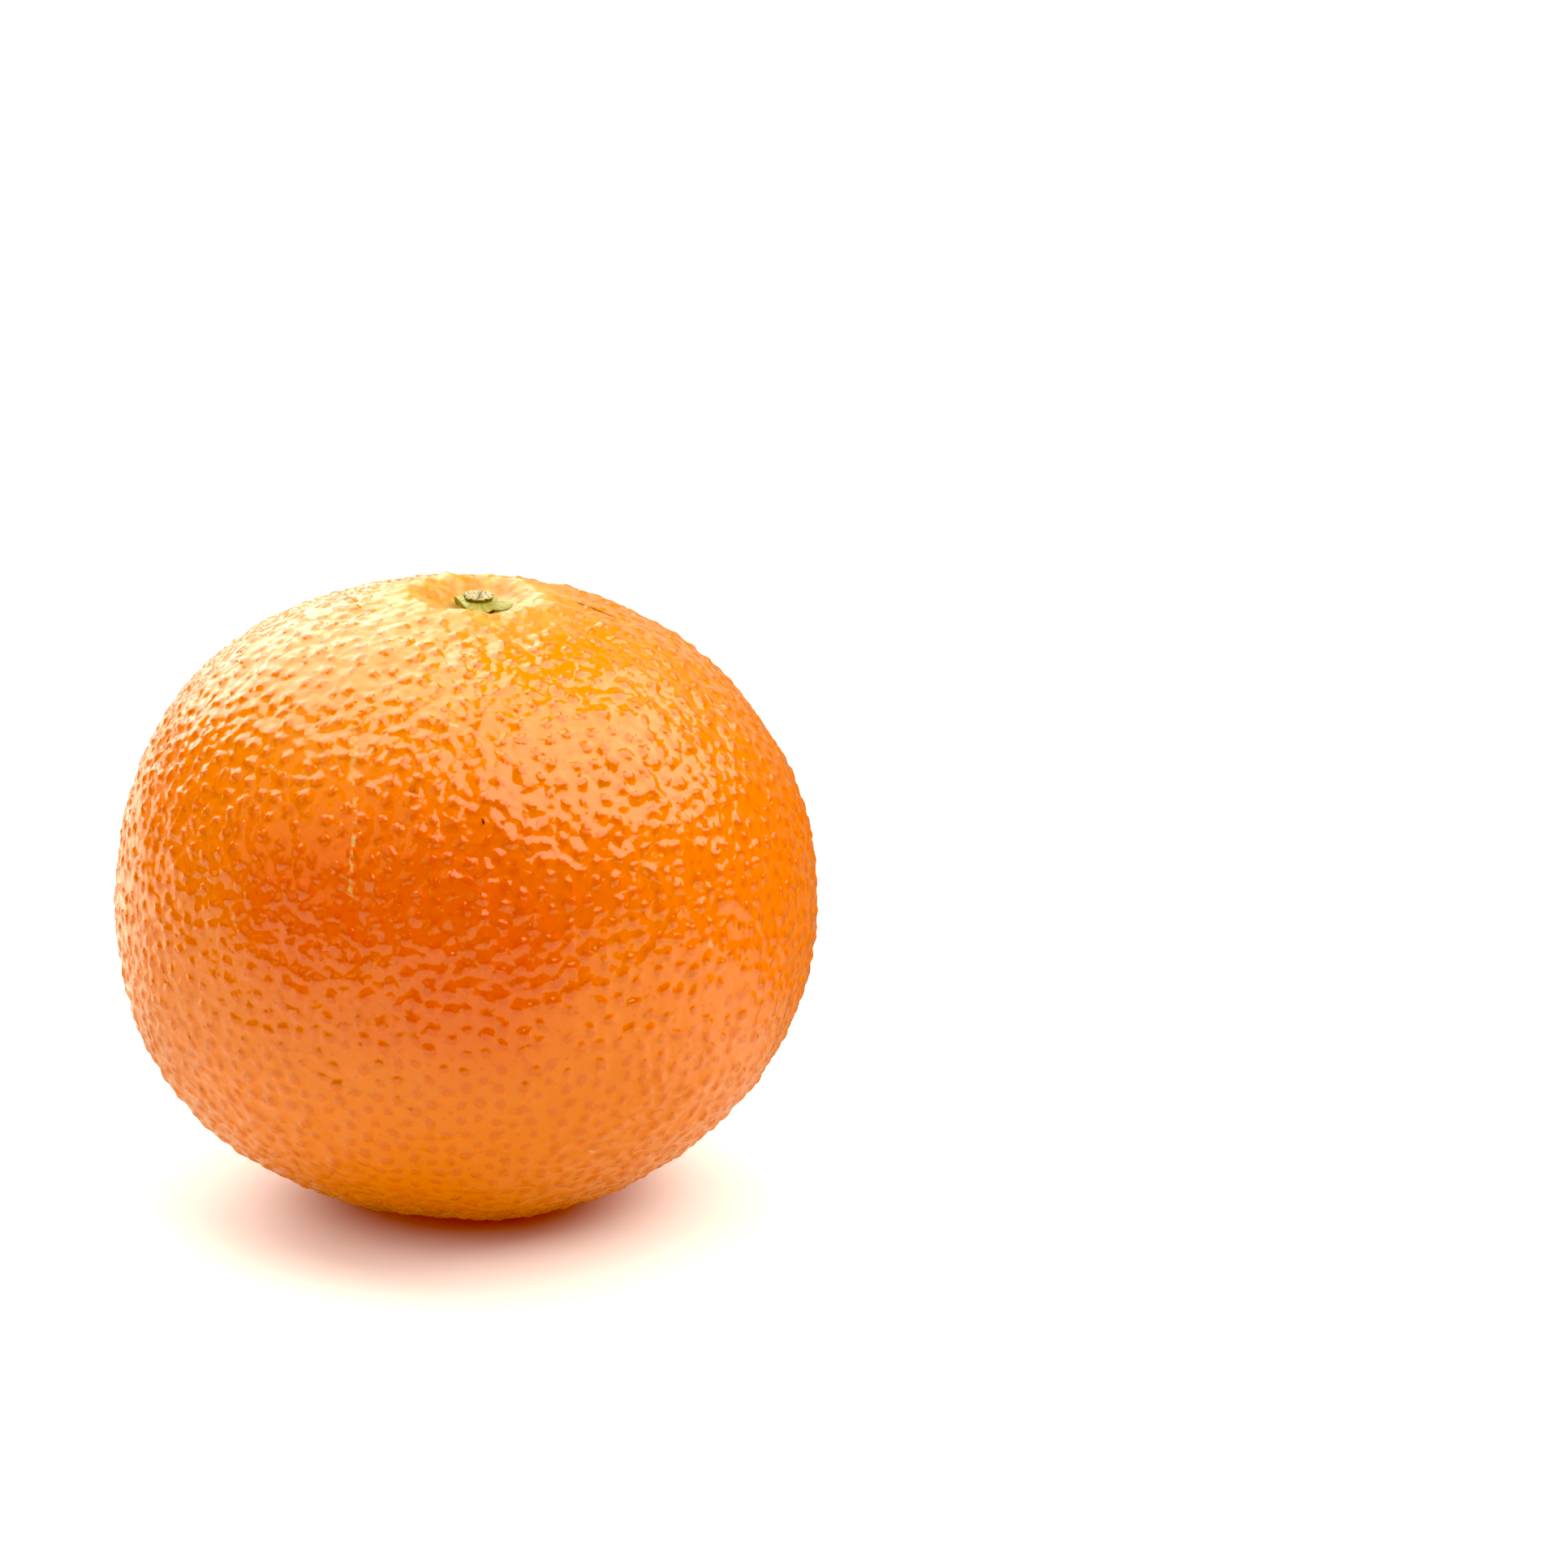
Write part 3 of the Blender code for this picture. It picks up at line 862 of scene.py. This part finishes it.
def calyx_top(share):
    """Radius and height of the calyx's upper side, at shares of the way from the stub out."""
    radius = inner + (reach - inner) * share
    height = PLATE_HEIGHT + COLLAR_HEIGHT * np.exp(-(radius - inner) / COLLAR_WIDTH)
    height = height - PLATE_FALL * share**2 + curl * smooth_step((share - 0.3) / 0.7)
    height = height + (RIB_HEIGHT * rib + STRIATION_HEIGHT * streak) * share
    return radius, height


top_radius, top_height = calyx_top(top_share)
under_radius, under_height = calyx_top(under_share)
thickness = EDGE_THICKNESS + (FOOT_THICKNESS - EDGE_THICKNESS) * (1 - under_share) ** 1.6
collar = COLLAR_HEIGHT * np.exp(-(under_radius - inner) / COLLAR_WIDTH)
under_height = under_height - thickness - collar
shares = np.concatenate([top_share, under_share]) * np.ones(CALYX_SPOKES)
on_top = np.concatenate([np.ones(CALYX_TOP_ROWS), np.zeros(CALYX_UNDER_ROWS)])[:, None]
calyx = turned_mesh(
    "calyx_lobes",
    np.concatenate([top_radius, under_radius]),
    np.concatenate([top_height, under_height]),
    {
        "out": shares,
        "streak": streak + 0 * shares,
        "pale": paleness + 0 * shares,
        "top": on_top + 0 * shares,
    },
    ring=True,
)

calyx_skin, tree, shader = new_material("dried_calyx")
place = add_node(tree, "ShaderNodeTexCoord").outputs["Object"]
streaks = blend_range(tree, vertex_value(tree, "streak"), -0.25, 0.35)
colour = mix_colour(tree, streaks, CALYX_OLIVE, CALYX_LIME)
colour = mix_colour(tree, vertex_value(tree, "pale"), colour, CALYX_MINT)
patches = flecks(tree, place, PATCH_SIZE, 0.52, 0.68)
edge = blend_range(tree, vertex_value(tree, "out"), 0.96, 1.0, 0.0, EDGE_BROWN)
worn = calculate(tree, "MULTIPLY", edge, blend_range(tree, patches, 0.0, 1.0, 0.35, 1.0))
worn = calculate(tree, "MAXIMUM", worn, calculate(tree, "MULTIPLY", patches, PATCH_BROWN))
underside = blend_range(tree, vertex_value(tree, "top"), 0.6, 0.1)
worn = calculate(tree, "MAXIMUM", worn, calculate(tree, "MULTIPLY", underside, UNDER_BROWN))
colour = mix_colour(tree, worn, colour, CALYX_BROWN)
feed(tree, shader.inputs["Base Color"], colour)
shader.inputs["Roughness"].default_value = CALYX_ROUGHNESS
fine = bumps(tree, grain(tree, place, CALYX_GRAIN_SIZE), CALYX_GRAIN_HEIGHT)
feed(tree, shader.inputs["Normal"], fine)
calyx.data.materials.append(calyx_skin)
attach(calyx, "root")
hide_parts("calyx")


# ---------------------------------------------------------------- the stalk's stub
# What the clippers left of the stalk: a short woody stub that widens to a pale, rough cut with a
# split across it and a torn brown lip. It grows out of the crown through the calyx.

STUB_SPOKES = 120
STUB_ROWS = 14
STUB_DEPTH = 0.00032  # how far it goes down into the seat, below the frame's own foot
LIP_HEIGHT = 0.00016
LIP_INSET = 0.00005
LIP_RAG = 0.00020
RIDGE_HEIGHT = 0.00005
CUT_ROUGHNESS_HEIGHT = 0.00013
CUT_DEPTH_SHARE = 0.80  # how deep the cut is, front to back, as a share of its width
CUT_FROM = 0.75  # the frame's points above this share of the stub's height are the cut
CUT_RINGS = (1.0, 0.97, 0.88, 0.76, 0.64, 0.52, 0.40, 0.28, 0.16, 0.06)  # shares of its radius
SPLIT_FROM = (0.00045, 0.0012)  # its ends, as seen along the stalk's axis
SPLIT_TO = (-0.00022, -0.0012)
SPLIT_WIDTH = 0.00014
SPLIT_DEPTH = 0.00014
SPLIT_WANDER = 0.00012
CUT_CREAM = (0.520, 0.440, 0.260, 1)
CUT_FLECK = (0.120, 0.070, 0.025, 1)
SPLIT_GREEN = (0.150, 0.140, 0.060, 1)
STALK_GREEN = (0.330, 0.330, 0.090, 1)
LIP_BROWN = (0.110, 0.066, 0.018, 1)
FLECK_SIZE = 0.00016
FLECK_SHARE = 0.75  # how dark the flecks are
STUB_ROUGHNESS = 0.75
STUB_GRAIN_SIZE = 0.00009
STUB_GRAIN_HEIGHT = 0.00003

node_places = in_stem_frame("stem_stub")
cut_points = node_places[node_places[:, 2] > node_places[:, 2].max() * CUT_FROM]
cut_plane = np.linalg.lstsq(
    np.column_stack([cut_points[:, :2], np.ones(len(cut_points))]), cut_points[:, 2], rcond=None
)[0]
cut_radius = float(np.hypot(cut_points[:, 0], cut_points[:, 1]).max())
turns = np.arange(STUB_SPOKES) * 2 * math.pi / STUB_SPOKES
rag = noise_at(2.2 * np.cos(turns), 2.2 * np.sin(turns), 1.0)
rag = rag + 0.5 * noise_at(7 * np.cos(turns), 7 * np.sin(turns), 8.0)
ridges = np.sin(9 * turns + 2 * rag)
side_share = np.linspace(0, 1, STUB_ROWS)[:, None]
side_radius = stub_radius + (cut_radius - LIP_INSET - stub_radius) * side_share**3
side_radius = side_radius + RIDGE_HEIGHT * ridges * (0.4 + 0.6 * side_share)
face_share = np.array(CUT_RINGS)[:, None]
squash = 1 / np.hypot(np.cos(turns), np.sin(turns) / CUT_DEPTH_SHARE)
side_radius = side_radius * (1 + (squash - 1) * side_share**2)
face_radius = (cut_radius + LIP_RAG * rag) * face_share * squash


def cut_height(radius):
    """Height of the sawn face, rough and split, at each of the places."""
    x, y = radius * np.cos(turns), radius * np.sin(turns)
    height = cut_plane[0] * x + cut_plane[1] * y + cut_plane[2]
    rough = noise_at(x * 2600, y * 2600, 4.0) + 0.6 * noise_at(x * 7000, y * 7000, 9.0)
    start, end = np.array(SPLIT_FROM), np.array(SPLIT_TO)
    across = np.array([end[1] - start[1], start[0] - end[0]]) / np.linalg.norm(end - start)
    off = (x - start[0]) * across[0] + (y - start[1]) * across[1]
    off = off + SPLIT_WANDER * noise_at(x * 900, y * 900, 6.0)
    split = np.exp(-((off / SPLIT_WIDTH) ** 2))
    return height + CUT_ROUGHNESS_HEIGHT * rough - SPLIT_DEPTH * split, split


face_height, face_split = cut_height(face_radius)
lip_top = face_height[0]
side_height = -STUB_DEPTH + (lip_top - LIP_HEIGHT * (1 + 0.5 * rag) + STUB_DEPTH) * side_share
face_height[0] = lip_top - 0.35 * LIP_HEIGHT
on_side, on_face = np.ones_like(side_radius), np.ones_like(face_radius)
cut_mark = smooth_step((1.02 - face_share) / 0.05) * on_face
lip_mark = smooth_step((side_share - 0.78) / 0.2) * on_side
stub = turned_mesh(
    "stalk_stub",
    np.concatenate([side_radius, face_radius]),
    np.concatenate([side_height, face_height]),
    {
        "cut": np.concatenate([0 * on_side, cut_mark]),
        "lip": np.concatenate([lip_mark, 0 * on_face]),
        "split": np.concatenate([0 * on_side, face_split]),
    },
    ring=False,
)

stub_wood, tree, shader = new_material("clipped_stalk")
place = add_node(tree, "ShaderNodeTexCoord").outputs["Object"]
side = mix_colour(tree, vertex_value(tree, "lip"), STALK_GREEN, LIP_BROWN)
dirt = flecks(tree, place, FLECK_SIZE, 0.51, 0.58, 3.0)
cut = mix_colour(tree, calculate(tree, "MULTIPLY", dirt, FLECK_SHARE), CUT_CREAM, CUT_FLECK)
cut = mix_colour(tree, blend_range(tree, vertex_value(tree, "split"), 0.3, 0.9), cut, SPLIT_GREEN)
feed(tree, shader.inputs["Base Color"], mix_colour(tree, vertex_value(tree, "cut"), side, cut))
shader.inputs["Roughness"].default_value = STUB_ROUGHNESS
fine = bumps(tree, grain(tree, place, STUB_GRAIN_SIZE, 3.0), STUB_GRAIN_HEIGHT)
feed(tree, shader.inputs["Normal"], fine)
stub.data.materials.append(stub_wood)
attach(stub, "root")
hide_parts("stem_stub")


# ---------------------------------------------------------------- camera
# The camera stands before the fruit, a little above it, and looks past its right side.

CAMERA_RISE = math.radians(18)
CAMERA_DISTANCE = 0.66
CAMERA_LENS = 171.2
FRUIT_LEFT_OF_MIDDLE = 0.0282
FRUIT_BELOW_MIDDLE = 0.01064
LOOKED_AT = Vector((0, 0, 0.0259))
SENSOR_WIDTH = 36
NEAREST_SEEN = 0.01

camera_data = bpy.data.cameras.new("camera")
camera_data.lens = CAMERA_LENS
camera_data.sensor_width = SENSOR_WIDTH
camera_data.clip_start = NEAREST_SEEN
camera = bpy.data.objects.new("camera", camera_data)
bpy.context.scene.collection.objects.link(camera)
camera_side = Vector((1, 0, 0))
camera_up = Vector((0, math.sin(CAMERA_RISE), math.cos(CAMERA_RISE)))
camera.location = LOOKED_AT + CAMERA_DISTANCE * camera_side.cross(camera_up)
frame_middle = LOOKED_AT + FRUIT_LEFT_OF_MIDDLE * camera_side + FRUIT_BELOW_MIDDLE * camera_up
camera.rotation_euler = (frame_middle - camera.location).to_track_quat("-Z", "Y").to_euler()
bpy.context.scene.camera = camera


# ---------------------------------------------------------------- light
# A large softbox above on the right, another above and behind on the left, a faint one at the
# left, and a white room beyond, brightest low down behind, just right of the middle.

SOFTBOX_DISTANCE = 1.1
SOFTBOX_WARMTH = (1.0, 0.98, 0.82)
ROOM_LEVEL = 0.15  # the room's brightness, what is added to it behind, and as the camera sees it
ROOM_BRIGHT = 0.42
ROOM_SEEN = 1.1
WINDOW_BRIGHT = 1.7  # how much brighter that part is, right of the middle
BLACK_LEVEL = (0.0, 0.011, 0.032)  # of red, green and blue


def place_softbox(name, azimuth, rise, turn, width, height, radiance):
    """A rectangular light, its middle seen from the fruit at the angles and its sides in degrees."""
    towards = direction_at(azimuth, rise)
    light = bpy.data.lights.new(name, "AREA")
    light.shape = "RECTANGLE"
    light.size = 2 * SOFTBOX_DISTANCE * math.tan(math.radians(width) / 2)
    light.size_y = 2 * SOFTBOX_DISTANCE * math.tan(math.radians(height) / 2)
    light.energy = radiance * math.pi * light.size * light.size_y
    light.color = SOFTBOX_WARMTH
    box = bpy.data.objects.new(name, light)
    bpy.context.scene.collection.objects.link(box)
    box.location = LOOKED_AT + SOFTBOX_DISTANCE * towards
    facing = (-towards).to_track_quat("-Z", "Y").to_matrix()
    box.rotation_euler = (facing @ Matrix.Rotation(math.radians(turn), 3, "Z")).to_euler()
    box.visible_camera = False


place_softbox("softbox_right", -9, 56.5, turn=-31, width=80, height=49, radiance=3.8)
place_softbox("softbox_back", 122, 47.5, turn=-17, width=50, height=82, radiance=4.1)
place_softbox("softbox_left", -150, 35, turn=0, width=48, height=40, radiance=1.0)

world = bpy.data.worlds.new("studio")
world.use_nodes = True
bpy.context.scene.world = world
tree = world.node_tree
tree.nodes.clear()
direction = add_node(tree, "ShaderNodeTexCoord").outputs["Generated"]
axes = add_node(tree, "ShaderNodeSeparateXYZ", {0: direction})
behind = blend_range(tree, axes.outputs["Y"], 0.2, 0.6)
low = blend_range(tree, axes.outputs["Z"], 0.35, 0.65, 1.0, 0.3)
leftward = blend_range(tree, axes.outputs["X"], 0.3, 0.7, 1.0, 0.2)
window = blend_range(tree, axes.outputs["X"], 0.0, 0.2, 1.0, WINDOW_BRIGHT)
share = calculate(tree, "MULTIPLY", calculate(tree, "MULTIPLY", behind, low), leftward)
share = calculate(tree, "MULTIPLY", share, window)
room = calculate(tree, "MULTIPLY_ADD", share, ROOM_BRIGHT, ROOM_LEVEL)
seen = add_node(tree, "ShaderNodeLightPath").outputs["Is Camera Ray"]
brightness = blend_range(tree, seen, 0.0, 1.0, room, ROOM_SEEN, smooth=False)
sky = add_node(tree, "ShaderNodeBackground", {"Strength": brightness}).outputs[0]
add_node(tree, "ShaderNodeOutputWorld", {"Surface": sky})

view = bpy.context.scene.view_settings
view.view_transform = "Standard"
view.use_curve_mapping = True
view.curve_mapping.black_level = BLACK_LEVEL
view.curve_mapping.update()


# ---------------------------------------------------------------- floor
# A wide sheet of white card lies under the fruit. Round the foot it has a painted warm glow, seen by
# the camera and in reflections, that stands in for the light the peel lets through and lightens the
# fruit's shadow. The camera sees it whiter than the fruit does, and in reflections it is brighter or
# darker by side, as in a full room.

FLOOR_HALF = 3.0
CARD_ROUGHNESS = 0.9
CARD_SEEN = (0.85, 0.85, 0.85, 1)
CARD_GIVEN = (0.84, 0.84, 0.84, 1)
CARD_MIRRORED_FRONT = (0.84, 0.83, 0.76, 1)
CARD_MIRRORED_LEFT = (0.44, 0.43, 0.37, 1)
CARD_MIRRORED_FAR_LEFT = (1.0, 0.86, 0.72, 1)
CARD_MIRRORED_RIGHT = (0.14, 0.12, 0.09, 1)
GLOW_NEAR = (0.12, 0.0, 0.0, 1)  # light added for the camera, at the foot and away from it
GLOW_FAR = (0.31, 0.22, 0.20, 1)
GLOW_MIRRORED = (0.36, 0.14, 0.04, 1)
NO_GLOW = (0.0, 0.0, 0.0, 1)
# Distances from the middle of the foot between which the glow changes, seen and mirrored
GLOW_RANGE = (0.010, 0.021)
MIRRORED_RANGE = (0.050, 0.022)

floor_mesh = bpy.data.meshes.new("card")
corners = [(FLOOR_HALF * x, FLOOR_HALF * y, 0) for x, y in ((-1, -1), (1, -1), (1, 1), (-1, 1))]
floor_mesh.from_pydata(corners, [], [(0, 1, 2, 3)])
floor = bpy.data.objects.new("card", floor_mesh)
bpy.context.scene.collection.objects.link(floor)
card, tree, shader = new_material("white_card")
rays = add_node(tree, "ShaderNodeLightPath")
seen = rays.outputs["Is Camera Ray"]
place = add_node(tree, "ShaderNodeTexCoord").outputs["Object"]
axes = add_node(tree, "ShaderNodeSeparateXYZ", {0: place})
rightward = blend_range(tree, axes.outputs["X"], -0.01, 0.03)
frontward = blend_range(tree, axes.outputs["Y"], 0.03, -0.02)
backward = blend_range(tree, axes.outputs["Y"], 0.01, 0.06)
mirrored = mix_colour(tree, backward, CARD_MIRRORED_LEFT, CARD_MIRRORED_FAR_LEFT)
mirrored = mix_colour(tree, rightward, mirrored, CARD_MIRRORED_RIGHT)
mirrored = mix_colour(tree, frontward, mirrored, CARD_MIRRORED_FRONT)
card_colour = mix_colour(tree, rays.outputs["Is Glossy Ray"], CARD_GIVEN, mirrored)
feed(tree, shader.inputs["Base Color"], mix_colour(tree, seen, card_colour, CARD_SEEN))
foot_distance = on_vectors(tree, "LENGTH", place)
off_foot = blend_range(tree, foot_distance, *GLOW_RANGE)
glow = mix_colour(tree, off_foot, GLOW_NEAR, GLOW_FAR)
mirrored_share = blend_range(tree, foot_distance, *MIRRORED_RANGE)
mirrored_glow = mix_colour(tree, mirrored_share, NO_GLOW, GLOW_MIRRORED)
glow = mix_colour(tree, rays.outputs["Is Glossy Ray"], glow, mirrored_glow)
feed(tree, shader.inputs["Emission Color"], glow)
given_off = calculate(tree, "MAXIMUM", seen, rays.outputs["Is Glossy Ray"])
feed(tree, shader.inputs["Emission Strength"], given_off)
shader.inputs["Roughness"].default_value = CARD_ROUGHNESS
floor_mesh.materials.append(card)
